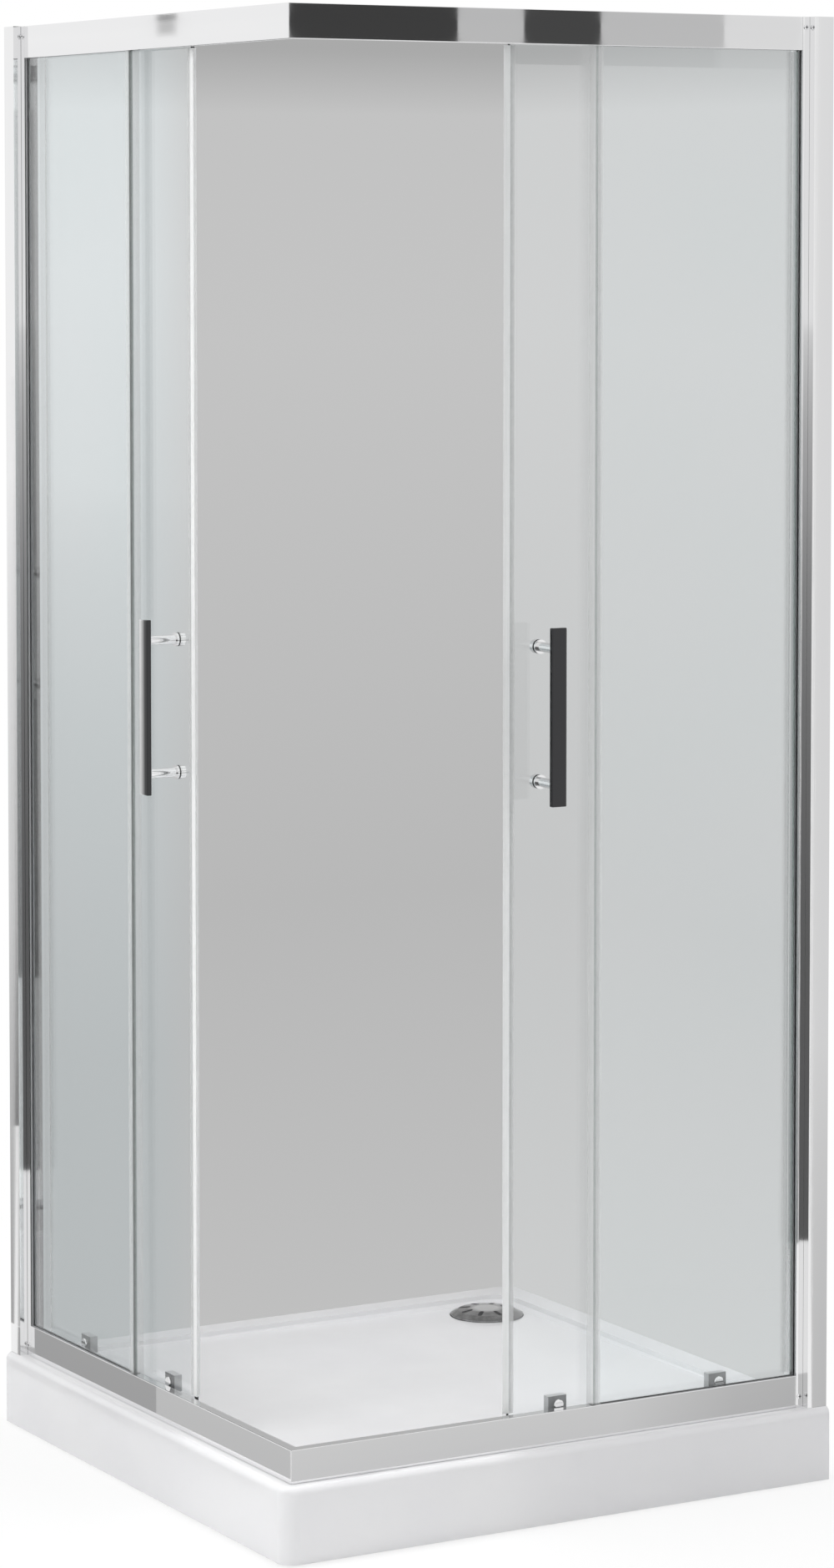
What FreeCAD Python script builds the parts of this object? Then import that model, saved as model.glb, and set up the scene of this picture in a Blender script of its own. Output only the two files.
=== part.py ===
import FreeCAD, Part
import math
import os
import re

import Sketcher

# Square corner-entry shower enclosure, in millimetres, +Z up.
# The origin is on the floor, under the middle of the tray.
# The free corner points to -X -Y; the walls stand at +X and +Y.
# The right side faces -Y. The left side faces -X and mirrors the right side across the plane x = y.

SIZES = {
    # tray
    "tray_side": 900,
    "tray_height": 110,
    "skirt_gap": 3,
    "skirt_thickness": 6,
    "lip_height": 35,
    "tray_edge_radius": 10,
    "tray_corner_radius": 24,
    "rim_front": 62,
    "rim_wall": 40,
    "basin_depth": 6,
    "basin_draft": 4,
    "basin_corner": 40,
    "floor_fall": 5,
    "floor_thickness": 12,
    "sump_half": 62,
    "sump_corner": 30,
    "board_thickness": 15,
    "board_inset": 14,
    # drain
    "drain_inset": 115,
    "waste_hole_radius": 45,
    "waste_bore_radius": 38,
    "flange_radius": 54,
    "flange_thickness": 2,
    "gasket_thickness": 4,
    "gasket_radius": 58,
    "trap_radius": 52,
    "trap_wall": 3,
    "trap_bottom": 12,
    "outlet_radius": 20.2,
    "outlet_wall": 4,
    "outlet_reach": 100,
    "cover_radius": 57,
    "cover_thickness": 2,
    "cover_rise": 11,
    "cover_skirt": 12,
    # feet
    "foot_inset": 110,
    "foot_waste_gap": 145,
    "foot_radius": 25,
    "foot_pad": 6,
    "foot_cone": 4,
    "foot_rod_radius": 5,
    "socket_radius": 16,
    "socket_length": 29,
    "rod_end_gap": 6,
    # rails
    "total_height": 2125,
    "rail_inset": 20,
    "rail_wall": 2,
    "groove_width": 12,
    "top_groove": 18,
    "bottom_groove": 15,
    "bottom_hollow": 28,
    "guide_lip": 36,
    "block_length": 60,
    "end_block_length": 25,
    # wall channels and side posts
    "channel_width": 33,
    "channel_nose": 12,
    "channel_wall": 2,
    "channel_bay": 26,
    "post_width": 27,
    "post_show": 12,
    "post_groove": 20,
    "wall_hole_radius": 3,
    "wall_hole_low": 190,
    "wall_hole_high": 225,
    "wall_hole_pitch": 600,
    "adjust_low": 290,
    "adjust_high": 325,
    "screw_radius": 2,
    "screw_head_radius": 4,
    "screw_head": 1.3,
    "screw_cap_radius": 5.5,
    "screw_cap_height": 4,
    # glass and seals
    "glass_thickness": 6,
    "fixed_glass_width": 360,
    "fixed_glass_bite": 15,
    "setting_block": 2,
    "setting_block_length": 40,
    "seal_wall": 2,
    "seal_grip": 7,
    "fixed_seal_nose": 6,
    "fixed_seal_wall": 2.5,
    "fixed_seal_fin": 5,
    "seal_fin": 1,
    "rear_fin_reach": 4.8,
    "rear_seal_nose": 3.5,
    "seal_end_gap": 1.5,
    # doors
    "door_width": 471,
    "door_gap": 5,
    "door_rest_gap": 5,
    "door_bottom_rise": 22,
    "door_top_rise": 28,
    "closed_edge": 31,
    "closed_seal_gap": 0.7,
    "left_door_ajar": 30,
    "bracket_front": 83,
    "bracket_rear": 118,
    "bracket_width": 80,
    "bracket_thickness": 3,
    "bracket_rise": 1,
    "bracket_edge": 6.2,
    "bolt_spacing": 50,
    "bolt_rise": 9,
    "bolt_radius": 4,
    "bolt_cap_radius": 8,
    "bolt_cap": 2,
    "bolt_nut_radius": 8,
    "bolt_nut": 4,
    "glass_hole_radius": 6,
    "wheel_radius": 11.5,
    "wheel_width": 7,
    "wheel_chamfer": 1,
    "axle_radius": 3,
    "axle_head_radius": 4.6,
    "axle_head": 1.5,
    "axle_shoulder": 0.7,
    "rail_back_gap": 4,
    "rail_head_room": 0.7,
    "slot_gap": 1,
    "guide_gap": 5,
    "guide_width": 30,
    "guide_depth": 12,
    "guide_height": 24,
    "guide_rise": 2,
    "guide_tongue": 24,
    "stop_length": 12,
    "stop_height": 18,
    "stop_overhang": 3.5,
    "stop_gap": 1,
    # handles
    "handle_inset": 50,
    "handle_clear": 20,
    "handle_height": 1144,
    "handle_length": 250,
    "handle_width": 24,
    "handle_depth": 8,
    "handle_edge": 1.5,
    "handle_reach": 45.5,
    "handle_post_spacing": 190,
    "handle_post_radius": 7,
    "rosette_radius": 10,
    "rosette_thickness": 3,
    "handle_cap_radius": 10,
    "handle_cap_length": 8,
    # clearances
    "fit_gap": 0.05,
    "loose_gap": 0.3,
}

ORIGIN = FreeCAD.Vector(0, 0, 0)
Z_AXIS = FreeCAD.Vector(0, 0, 1)
TURN_TO = {
    "x": FreeCAD.Rotation(FreeCAD.Vector(0, 1, 0), 90),
    "y": FreeCAD.Rotation(FreeCAD.Vector(1, 0, 0), -90),
    "z": FreeCAD.Rotation(),
}
MIRROR_NORMAL = FreeCAD.Vector(1, -1, 0)
MITRE_TURN = FreeCAD.Rotation(Z_AXIS, 45)

doc = FreeCAD.newDocument("shower_enclosure")
sheet = doc.addObject("Spreadsheet::Sheet", "Sizes")
for row, (alias, size) in enumerate(SIZES.items(), start=1):
    sheet.set(f"A{row}", alias)
    sheet.set(f"B{row}", str(size))
    sheet.setAlias(f"B{row}", alias)
doc.recompute()

subparts = []


def sized(text):
    """Expression in which each size's name points to its cell."""
    return re.sub(r"[a-z_]+", lambda word: f"Sizes.{word[0]}" if word[0] in SIZES else word[0], text)


def value_of(text):
    """Number that an expression stands for now."""
    return float(sheet.evalExpression(sized(text)))


def span(low, high):
    """Distance between two places."""
    return f"({high}) - ({low})"


def place(obj, **where):
    """Bind an object's position, axis by axis."""
    for axis, text in where.items():
        obj.setExpression(f"Placement.Base.{axis}", sized(text))
    return obj


def box(name, x, y, z):
    """Block between pairs of places on the three axes."""
    block = doc.addObject("Part::Box", name)
    for side, (low, high) in zip(("Length", "Width", "Height"), (x, y, z)):
        block.setExpression(side, sized(span(low, high)))
    return place(block, x=x[0], y=y[0], z=z[0])


def rod(name, axis, radius, start, end, **centre):
    """Round bar along one axis, with its centre on the other two."""
    bar = doc.addObject("Part::Cylinder", name)
    bar.setExpression("Radius", sized(radius))
    bar.setExpression("Height", sized(span(start, end)))
    bar.Placement = FreeCAD.Placement(ORIGIN, TURN_TO[axis])
    return place(bar, **{axis: start}, **centre)


def fused(name, pieces):
    """Pieces joined into one solid, or kept as one group of tools."""
    union = doc.addObject("Part::MultiFuse", name)
    union.Shapes = pieces
    return union


def cut(name, base, tools):
    """Base less every tool."""
    result = doc.addObject("Part::Cut", name)
    result.Base = base
    result.Tool = tools[0] if len(tools) == 1 else fused(f"{name}_tools", tools)
    return result


def group(name, pieces):
    """Separate solids kept together as one sub-part."""
    bundle = doc.addObject("Part::Compound", name)
    bundle.Links = pieces
    return bundle


def mirrored(name, source):
    """The left side's copy of a piece of the right side."""
    copy = doc.addObject("Part::Mirroring", name)
    copy.Source = source
    copy.Base = ORIGIN
    copy.Normal = MIRROR_NORMAL
    return copy


def keep(obj):
    """List an object as a finished sub-part; its label names its file."""
    subparts.append(obj)
    return obj


def keep_both(name, source):
    """Finished pair: the right piece and its mirror image on the left."""
    keep(source)
    return keep(mirrored(f"{name}_left", source))


def keep_door_pair(name, source):
    """Finished pair on the doors, of which the left one stands a little less open."""
    place(keep_both(name, source), y="-left_door_ajar")


def add_outline(sketch, points):
    """Closed outline of straight edges; each corner is a pair of expressions."""
    corners = [FreeCAD.Vector(value_of(u), value_of(v), 0) for u, v in points]
    first = sketch.GeometryCount
    count = len(points)
    for index in range(count):
        sketch.addGeometry(Part.LineSegment(corners[index], corners[(index + 1) % count]), False)
    for index in range(count):
        following = first + (index + 1) % count
        sketch.addConstraint(Sketcher.Constraint("Coincident", first + index, 2, following, 1))
    for index, (u, v) in enumerate(points):
        for kind, text, size in (("DistanceX", u, corners[index].x), ("DistanceY", v, corners[index].y)):
            number = sketch.addConstraint(Sketcher.Constraint(kind, first + index, 1, size))
            sketch.setExpression(f"Constraints[{number}]", sized(text))


def sketch_on(body, name, plane, offset="0"):
    """Empty sketch on one of a body's own origin planes, moved along the plane's normal."""
    sketch = body.newObject("Sketcher::SketchObject", name)
    support = [datum for datum in body.Origin.OriginFeatures if datum.Role == plane]
    sketch.AttachmentSupport = (support[0], [""])
    sketch.MapMode = "FlatFace"
    sketch.setExpression("AttachmentOffset.Base.z", sized(offset))
    return sketch


def prism(name, plane, start, end, outlines):
    """Section drawn on a plane and padded between two places along its normal."""
    body = doc.addObject("PartDesign::Body", name)
    sketch = sketch_on(body, f"{name}_section", plane, start)
    for points in outlines:
        add_outline(sketch, points)
    pad = body.newObject("PartDesign::Pad", f"{name}_pad")
    pad.Profile = sketch
    pad.setExpression("Length", sized(span(start, end)))
    return body


def turned(name, plane, axis, points):
    """Section turned once round its sketch axis."""
    body = doc.addObject("PartDesign::Body", name)
    sketch = sketch_on(body, f"{name}_section", plane)
    add_outline(sketch, points)
    turn = body.newObject("PartDesign::Revolution", f"{name}_turn")
    turn.Profile = sketch
    turn.ReferenceAxis = (sketch, [axis])
    turn.Angle = 360
    return body


def rounded_outline(name, x, y, radius, z):
    """Level rectangle with round corners, as a section of the basin."""
    sketch = doc.addObject("Sketcher::SketchObject", name)
    place(sketch, z=z)
    x_low, x_high = (value_of(text) for text in x)
    y_low, y_high = (value_of(text) for text in y)
    turn = value_of(radius)
    quarter = math.pi / 2
    starts = [(x_low + turn, y_low), (x_high, y_low + turn), (x_high - turn, y_high), (x_low, y_high - turn)]
    ends = [(x_high - turn, y_low), (x_high, y_high - turn), (x_low + turn, y_high), (x_low, y_low + turn)]
    centres = [(x_high - turn, y_low + turn), (x_high - turn, y_high - turn),
               (x_low + turn, y_high - turn), (x_low + turn, y_low + turn)]
    for side in range(4):
        line = Part.LineSegment(FreeCAD.Vector(*starts[side], 0), FreeCAD.Vector(*ends[side], 0))
        sketch.addGeometry(line, False)
        circle = Part.Circle(FreeCAD.Vector(*centres[side], 0), Z_AXIS, turn)
        sketch.addGeometry(Part.ArcOfCircle(circle, (side - 1) * quarter, side * quarter), False)
    for side in range(4):
        line, arc, next_line = 2 * side, 2 * side + 1, (2 * side + 2) % 8
        sketch.addConstraint(Sketcher.Constraint("Tangent", line, 2, arc, 1))
        sketch.addConstraint(Sketcher.Constraint("Tangent", arc, 2, next_line, 1))
        sketch.addConstraint(Sketcher.Constraint("Vertical" if side % 2 else "Horizontal", line))
        if side:
            sketch.addConstraint(Sketcher.Constraint("Equal", 1, arc))
    dimensions = [("DistanceY", 0, y[0], y_low), ("DistanceX", 2, x[1], x_high),
                  ("DistanceY", 4, y[1], y_high), ("DistanceX", 6, x[0], x_low)]
    for kind, line, text, size in dimensions:
        number = sketch.addConstraint(Sketcher.Constraint(kind, line, 1, size))
        sketch.setExpression(f"Constraints[{number}]", sized(text))
    number = sketch.addConstraint(Sketcher.Constraint("Radius", 1, turn))
    sketch.setExpression(f"Constraints[{number}]", sized(radius))
    return sketch


def rounded_edges(body, base, name, radius, chosen):
    """Fillet on the edges of a feature that the test picks."""
    doc.recompute()
    names = [f"Edge{number}" for number, edge in enumerate(base.Shape.Edges, start=1) if chosen(edge)]
    fillet = body.newObject("PartDesign::Fillet", name)
    fillet.Base = (base, names)
    fillet.setExpression("Radius", sized(radius))
    return fillet


# Tray and what stands under it

HALF = "tray_side / 2"
NEAR = "-tray_side / 2"
SEAM = 0.01
FLOOR_EDGE = "(tray_height - basin_depth)"
SUMP = "(tray_height - basin_depth - floor_fall)"
FLOOR_UNDER = "(tray_height - basin_depth - floor_fall - floor_thickness)"
BOARD_UNDER = f"({FLOOR_UNDER} - board_thickness)"
DRAIN = "(tray_side / 2 - drain_inset)"


def tray_block():
    """Outer form of the tray, with the free corner and the two front top edges rounded."""
    body = prism("tray_block", "XY_Plane", "skirt_gap", "tray_height",
                 [[(NEAR, NEAR), (HALF, NEAR), (HALF, HALF), (NEAR, HALF)]])
    half = value_of(HALF)
    top = value_of("tray_height")
    corner = rounded_edges(
        body, body.Tip, "tray_corner", "tray_corner_radius",
        lambda edge: edge.BoundBox.XMax < SEAM - half and edge.BoundBox.YMax < SEAM - half)
    rounded_edges(
        body, corner, "tray_top_edge", "tray_edge_radius",
        lambda edge: edge.BoundBox.ZMin > top - SEAM
        and edge.BoundBox.XMin < half - SEAM and edge.BoundBox.YMin < half - SEAM)
    return body


def basin():
    """Shallow basin: drafted sides, then a floor that falls to the sump round the drain."""
    rim = (f"{NEAR} + rim_front", f"{HALF} - rim_wall")
    floor = (f"{rim[0]} + basin_draft", f"{rim[1]} - basin_draft")
    sump = (f"{DRAIN} - sump_half", f"{DRAIN} + sump_half")
    loft = doc.addObject("Part::Loft", "tray_basin")
    loft.Sections = [
        rounded_outline("basin_rim", rim, rim, "basin_corner", "tray_height"),
        rounded_outline("basin_floor", floor, floor, "basin_corner - basin_draft", FLOOR_EDGE),
        rounded_outline("basin_sump", sump, sump, "sump_corner", SUMP),
    ]
    loft.Solid = True
    loft.Ruled = True
    return loft


def clipped_square(low, high):
    """Outline of a square without its free corner, which clears the tray's round corner."""
    clip = f"{low} + tray_corner_radius"
    return [(clip, low), (high, low), (high, high), (low, high), (low, clip)]


def tray():
    """Moulded tray shell and the board bonded under its floor."""
    inner = (f"{NEAR} + skirt_thickness", f"{HALF} - skirt_thickness")
    wall_side = (f"{HALF} - skirt_thickness", HALF)
    under = ("0", FLOOR_UNDER)
    open_side = ("0", "tray_height - lip_height")
    tools = [
        prism("tray_underside", "XY_Plane", *under, [clipped_square(*inner)]),
        box("tray_wall_opening_right", wall_side, inner, open_side),
        box("tray_wall_opening_left", inner, wall_side, open_side),
        box("tray_wall_corner", wall_side, wall_side, open_side),
        basin(),
        rod("tray_waste_hole", "z", "waste_hole_radius", BOARD_UNDER, FLOOR_EDGE, x=DRAIN, y=DRAIN),
        rod("tray_flange_seat", "z", "flange_radius + loose_gap", f"{SUMP} - flange_thickness", FLOOR_EDGE,
            x=DRAIN, y=DRAIN),
    ]
    keep(cut("tray_shell", tray_block(), tools))
    panel = clipped_square(f"{NEAR} + board_inset", f"{HALF} - board_inset")
    keep(cut("tray_base_board", prism("board_blank", "XY_Plane", BOARD_UNDER, FLOOR_UNDER, [panel]),
             [rod("board_waste_hole", "z", "gasket_radius + slot_gap", BOARD_UNDER, FLOOR_UNDER,
                  x=DRAIN, y=DRAIN)]))


# Points of the drain cover's crown, as shares of its radius and of its rise
CROWN_EDGE = (0.8, 0.7)
CROWN_MIDDLE = (0.45, 0.95)
OUTLET_Z = f"({BOARD_UNDER} - outlet_radius - outlet_wall - loose_gap)"


def waste():
    """Waste flange, gasket, trap and the lift-out drain cover, on one upright axis."""
    seat = f"{SUMP} - flange_thickness"
    sleeve = "waste_hole_radius - loose_gap"
    gasket_under = f"{FLOOR_UNDER} - gasket_thickness"
    sleeve_end = f"{gasket_under} - socket_length / 2"
    flange = turned("waste_flange", "XZ_Plane", "V_Axis", [
        ("waste_bore_radius", sleeve_end), (sleeve, sleeve_end), (sleeve, seat),
        ("flange_radius", seat), ("flange_radius", SUMP), ("waste_bore_radius", SUMP)])
    gasket = turned("waste_gasket", "XZ_Plane", "V_Axis", [
        ("waste_hole_radius", gasket_under), ("gasket_radius", gasket_under),
        ("gasket_radius", FLOOR_UNDER), ("waste_hole_radius", FLOOR_UNDER)])
    collar = f"{gasket_under} - floor_thickness"
    trap_inside = "trap_bottom + trap_wall"
    trap_cup = turned("trap_cup", "XZ_Plane", "V_Axis", [
        ("0", "trap_bottom"), ("trap_radius", "trap_bottom"), ("trap_radius", collar),
        ("gasket_radius", collar), ("gasket_radius", gasket_under), ("waste_hole_radius", gasket_under),
        ("waste_hole_radius", trap_inside), ("0", trap_inside)])
    for piece in (flange, gasket, trap_cup):
        place(piece, x=DRAIN, y=DRAIN)
    outlet_start = f"{DRAIN} + trap_radius - trap_wall"
    outlet_end = f"{DRAIN} + outlet_reach"
    centre = {"y": DRAIN, "z": OUTLET_Z}
    trap_solid = fused("trap_solid", [
        trap_cup, rod("trap_outlet", "x", "outlet_radius + outlet_wall", outlet_start, outlet_end, **centre)])
    keep(flange)
    keep(gasket)
    keep(cut("waste_trap", trap_solid,
             [rod("trap_outlet_bore", "x", "outlet_radius", DRAIN, outlet_end, **centre)]))
    spigot = "waste_bore_radius - loose_gap"
    rest = f"{SUMP} + loose_gap"
    brim = f"{rest} + cover_thickness"
    cover = turned("drain_cover", "XZ_Plane", "V_Axis", [
        ("0", f"{rest} + cover_rise - cover_thickness"), (f"{spigot} - cover_thickness", brim),
        (f"{spigot} - cover_thickness", f"{rest} - cover_skirt"), (spigot, f"{rest} - cover_skirt"),
        (spigot, rest), ("cover_radius", rest), ("cover_radius", brim),
        (f"cover_radius * {CROWN_EDGE[0]}", f"{rest} + cover_rise * {CROWN_EDGE[1]}"),
        (f"cover_radius * {CROWN_MIDDLE[0]}", f"{rest} + cover_rise * {CROWN_MIDDLE[1]}"),
        ("0", f"{rest} + cover_rise")])
    keep(place(cover, x=DRAIN, y=DRAIN))


FOOT_NEAR = f"{NEAR} + foot_inset"
FOOT_FAR = f"{HALF} - foot_inset"
FEET = {
    "centre": ("0", "0"),
    "front": (FOOT_NEAR, FOOT_NEAR),
    "right": (FOOT_FAR, FOOT_NEAR),
    "left": (FOOT_NEAR, FOOT_FAR),
    "back": (f"{DRAIN} - foot_waste_gap", FOOT_FAR),
}


def feet():
    """Levelling feet, each on a rod that runs in a socket under the board."""
    cone_top = "foot_pad + foot_cone"
    rod_top = f"{BOARD_UNDER} - rod_end_gap"
    socket_under = f"{BOARD_UNDER} - socket_length"
    sockets = []
    for corner, (x, y) in FEET.items():
        foot = turned(f"levelling_foot_{corner}", "XZ_Plane", "V_Axis", [
            ("0", "0"), ("foot_radius", "0"), ("foot_radius", "foot_pad"),
            ("foot_rod_radius * 2", cone_top), ("foot_rod_radius", cone_top),
            ("foot_rod_radius", rod_top), ("0", rod_top)])
        keep(place(foot, x=x, y=y))
        sockets.append(cut(
            f"foot_socket_{corner}",
            rod(f"socket_blank_{corner}", "z", "socket_radius", socket_under, BOARD_UNDER, x=x, y=y),
            [rod(f"socket_bore_{corner}", "z", "foot_rod_radius + fit_gap", socket_under, BOARD_UNDER,
                 x=x, y=y)]))
    keep(group("foot_sockets", sockets))


# Frame of the right side, measured inwards from the outer face of its rails

FACE = "(rail_inset - tray_side / 2)"
POST = "(tray_side / 2 - channel_width - post_show)"
CHANNEL = "(tray_side / 2 - channel_width)"
GROOVE = "(rail_wall + groove_width)"
LEG = "(2 * rail_wall + groove_width)"
FIXED_FACE = "(rail_wall + (groove_width - glass_thickness) / 2)"
FIXED_BACK = f"({FIXED_FACE} + glass_thickness)"
DOOR_FACE = f"({LEG} + door_gap)"
DOOR_BACK = f"({DOOR_FACE} + glass_thickness)"
LIP = f"({DOOR_BACK} + bracket_thickness + slot_gap)"
WHEEL_BACK = f"({LIP} + wheel_width)"
TOP_DEPTH = f"({WHEEL_BACK} + rail_back_gap + rail_wall)"
GUIDE_LIP = f"({DOOR_BACK} + guide_gap)"
BOTTOM_DEPTH = f"({GUIDE_LIP} + rail_wall)"

# Heights of the rails and of what runs in them
GROOVE_FLOOR = "(tray_height + 2 * rail_wall + bottom_hollow)"
SILL_TOP = f"({GROOVE_FLOOR} + bottom_groove)"
TOP_HEIGHT = "(top_groove + 3 * rail_wall + loose_gap + 2 * wheel_radius + rail_head_room)"
RAIL_UNDER = f"(total_height - {TOP_HEIGHT})"
TOP_WEB = f"({RAIL_UNDER} + top_groove)"
LIP_TOP = f"({TOP_WEB} + 2 * rail_wall)"
WHEEL_Z = f"({LIP_TOP} + loose_gap + wheel_radius)"

# Places along the side
GLASS_FAR = f"({POST} + post_groove - setting_block)"
GLASS_NEAR = f"({GLASS_FAR} - fixed_glass_width)"
# An open door stops short of the post, or where its handle comes up to the fixed panel's seal
DOOR_NEAR = (f"min({POST} - door_rest_gap - door_width; "
             f"{GLASS_NEAR} - fixed_seal_nose - handle_clear - handle_width / 2 - handle_inset)")
DOOR_FAR = f"({DOOR_NEAR} + door_width)"
TRAVEL = f"({DOOR_NEAR} - {FACE} - closed_edge)"
BRACKETS = (f"({DOOR_NEAR} + bracket_front)", f"({DOOR_FAR} - bracket_rear)")


def inward(text):
    """Place on the Y axis of a depth behind the rails' outer face."""
    return f"{FACE} + {text}"


def outlined(points):
    """Section corners given as depth and height."""
    return [(inward(deep), height) for deep, height in points]


def mitre():
    """Tool that takes off everything on the left of the corner's diagonal."""
    start = f"{FACE} - {TOP_DEPTH}"
    wide = f"4 * {TOP_DEPTH}"
    tool = doc.addObject("Part::Box", "mitre_tool")
    for side, text in (("Length", wide), ("Width", wide), ("Height", "total_height")):
        tool.setExpression(side, sized(text))
    tool.Placement = FreeCAD.Placement(ORIGIN, MITRE_TURN)
    return place(tool, x=start, y=start)


def rails():
    """Top and bottom rails with their sill infill, mitred at the free corner."""
    tool = mitre()
    roof = "total_height - rail_wall"
    back = f"{TOP_DEPTH} - rail_wall"
    web = f"{TOP_WEB} + rail_wall"
    top = prism("top_rail_bar", "YZ_Plane", FACE, POST, [outlined([
        ("0", RAIL_UNDER), ("rail_wall", RAIL_UNDER), ("rail_wall", TOP_WEB), (GROOVE, TOP_WEB),
        (GROOVE, RAIL_UNDER), (LEG, RAIL_UNDER), (LEG, web), ("rail_wall", web), ("rail_wall", roof),
        (back, roof), (back, LIP_TOP), (LIP, LIP_TOP), (LIP, web), (TOP_DEPTH, web),
        (TOP_DEPTH, "total_height"), ("0", "total_height")])])
    keep_both("top_rail", cut("top_rail_right", top, [tool]))
    floor = "tray_height + rail_wall"
    hollow_top = f"{GROOVE_FLOOR} - rail_wall"
    lip = "tray_height + guide_lip"
    bottom = prism("bottom_rail_bar", "YZ_Plane", FACE, POST, [
        outlined([
            ("0", "tray_height"), (BOTTOM_DEPTH, "tray_height"), (BOTTOM_DEPTH, lip), (GUIDE_LIP, lip),
            (GUIDE_LIP, floor), (LEG, floor), (LEG, SILL_TOP), (GROOVE, SILL_TOP), (GROOVE, GROOVE_FLOOR),
            ("rail_wall", GROOVE_FLOOR), ("rail_wall", SILL_TOP), ("0", SILL_TOP)]),
        outlined([("rail_wall", floor), (GROOVE, floor), (GROOVE, hollow_top), ("rail_wall", hollow_top)])])
    keep_both("bottom_rail", cut("bottom_rail_right", bottom, [tool]))
    infill = box("sill_infill_bar", (FACE, f"{GLASS_NEAR} - fixed_seal_nose - slot_gap"),
                 (inward("rail_wall + loose_gap"), inward(f"{GROOVE} - loose_gap")), (GROOVE_FLOOR, SILL_TOP))
    keep_both("sill_infill", cut("sill_infill_right", infill, [tool]))


BLOCK_DEPTH = (inward("rail_wall + loose_gap"), inward(f"{GROOVE} - loose_gap"))
BLOCK_HEIGHTS = {
    "bottom": ("tray_height + rail_wall + loose_gap", f"{GROOVE_FLOOR} - rail_wall - loose_gap"),
    "top": (f"{TOP_WEB} + rail_wall + loose_gap", "total_height - rail_wall - loose_gap"),
}
SCREW_X = f"({POST} + post_show / 2)"
SCREW_HEIGHTS = {level: f"(({low}) + ({high})) / 2" for level, (low, high) in BLOCK_HEIGHTS.items()}


def rail_blocks():
    """Corner joints that hold the mitres, and the end blocks that the posts are screwed to."""
    corners = []
    ends = []
    for level, height in BLOCK_HEIGHTS.items():
        leg = (BLOCK_DEPTH[0], f"{BLOCK_DEPTH[0]} + block_length")
        corners.append(fused(f"corner_joint_{level}", [
            box(f"corner_leg_right_{level}", leg, BLOCK_DEPTH, height),
            box(f"corner_leg_left_{level}", BLOCK_DEPTH, leg, height)]))
        end = (f"{POST} - end_block_length", f"{POST} + post_groove - rail_wall")
        block = cut(f"end_block_{level}", box(f"end_block_blank_{level}", end, BLOCK_DEPTH, height),
                    [rod(f"end_block_hole_{level}", "y", "screw_radius + fit_gap", *BLOCK_DEPTH,
                         x=SCREW_X, z=SCREW_HEIGHTS[level])])
        ends += [block, mirrored(f"end_block_{level}_left", block)]
    keep(group("corner_joints", corners))
    keep(group("rail_end_blocks", ends))


ADJUST_X = f"({CHANNEL} + ({POST} + post_width - {CHANNEL}) / 2)"
ADJUST_LOW = "(tray_height + adjust_low)"
ADJUST_HIGH = "(total_height - adjust_high)"
ADJUST_HEIGHTS = (ADJUST_LOW, f"({ADJUST_LOW} + {ADJUST_HIGH}) / 2", ADJUST_HIGH)
HOLE_LOW = "tray_height + wall_hole_low"
HOLE_HIGH = "total_height - wall_hole_high"
WALL_HOLES = (HOLE_LOW, f"{HOLE_LOW} + wall_hole_pitch", f"{HOLE_HIGH} - wall_hole_pitch", HOLE_HIGH)
POST_FRONT = inward("loose_gap")
POST_BACK = inward("channel_bay - loose_gap")
FLANGE_BACK = inward("channel_bay + channel_wall")


def posts():
    """Wall channels with their screw holes, and the side posts that slide into them."""
    half_face = "channel_bay + channel_wall"
    web = f"{HALF} - channel_wall"
    nose = "-channel_nose"
    channel = prism("wall_channel_bar", "XY_Plane", "tray_height", "total_height", [
        [(x, inward(deep)) for x, deep in (
            (CHANNEL, nose), (HALF, nose), (HALF, half_face), (CHANNEL, half_face), (CHANNEL, "channel_bay"),
            (web, "channel_bay"), (web, "0"), (CHANNEL, "0"))],
        [(x, inward(deep)) for x, deep in (
            (f"{CHANNEL} + channel_wall", f"{nose} + channel_wall"), (web, f"{nose} + channel_wall"),
            (web, "-channel_wall"), (f"{CHANNEL} + channel_wall", "-channel_wall"))]])
    middle = inward("channel_bay / 2")
    holes = [rod(f"wall_hole_{number}", "x", "wall_hole_radius", web, HALF, y=middle, z=height)
             for number, height in enumerate(WALL_HOLES, start=1)]
    holes += [rod(f"channel_adjust_hole_{number}", "y", "screw_radius + fit_gap", POST_BACK, FLANGE_BACK,
                  x=ADJUST_X, z=height) for number, height in enumerate(ADJUST_HEIGHTS, start=1)]
    keep_both("wall_channel", cut("wall_channel_right", channel, holes))
    far = f"{POST} + post_width"
    near = f"{POST} + rail_wall"
    groove_end = f"{POST} + post_groove"
    bar = prism("side_post_bar", "XY_Plane", "tray_height", "total_height", [
        [(POST, POST_FRONT), (far, POST_FRONT), (far, POST_BACK), (POST, POST_BACK), (POST, inward(GROOVE)),
         (groove_end, inward(GROOVE)), (groove_end, inward("rail_wall")), (POST, inward("rail_wall"))],
        [(near, inward(LEG)), (f"{far} - rail_wall", inward(LEG)),
         (f"{far} - rail_wall", f"{POST_BACK} - rail_wall"), (near, f"{POST_BACK} - rail_wall")]])
    holes = [rod(f"post_screw_hole_{level}", "y", "screw_radius + fit_gap", POST_FRONT, inward("rail_wall"),
                 x=SCREW_X, z=height) for level, height in SCREW_HEIGHTS.items()]
    holes += [rod(f"post_adjust_hole_{number}", "y", "screw_radius + fit_gap", inward(LEG), POST_BACK,
                  x=ADJUST_X, z=height) for number, height in enumerate(ADJUST_HEIGHTS, start=1)]
    keep_both("side_post", cut("side_post_right", bar, holes))


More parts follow.
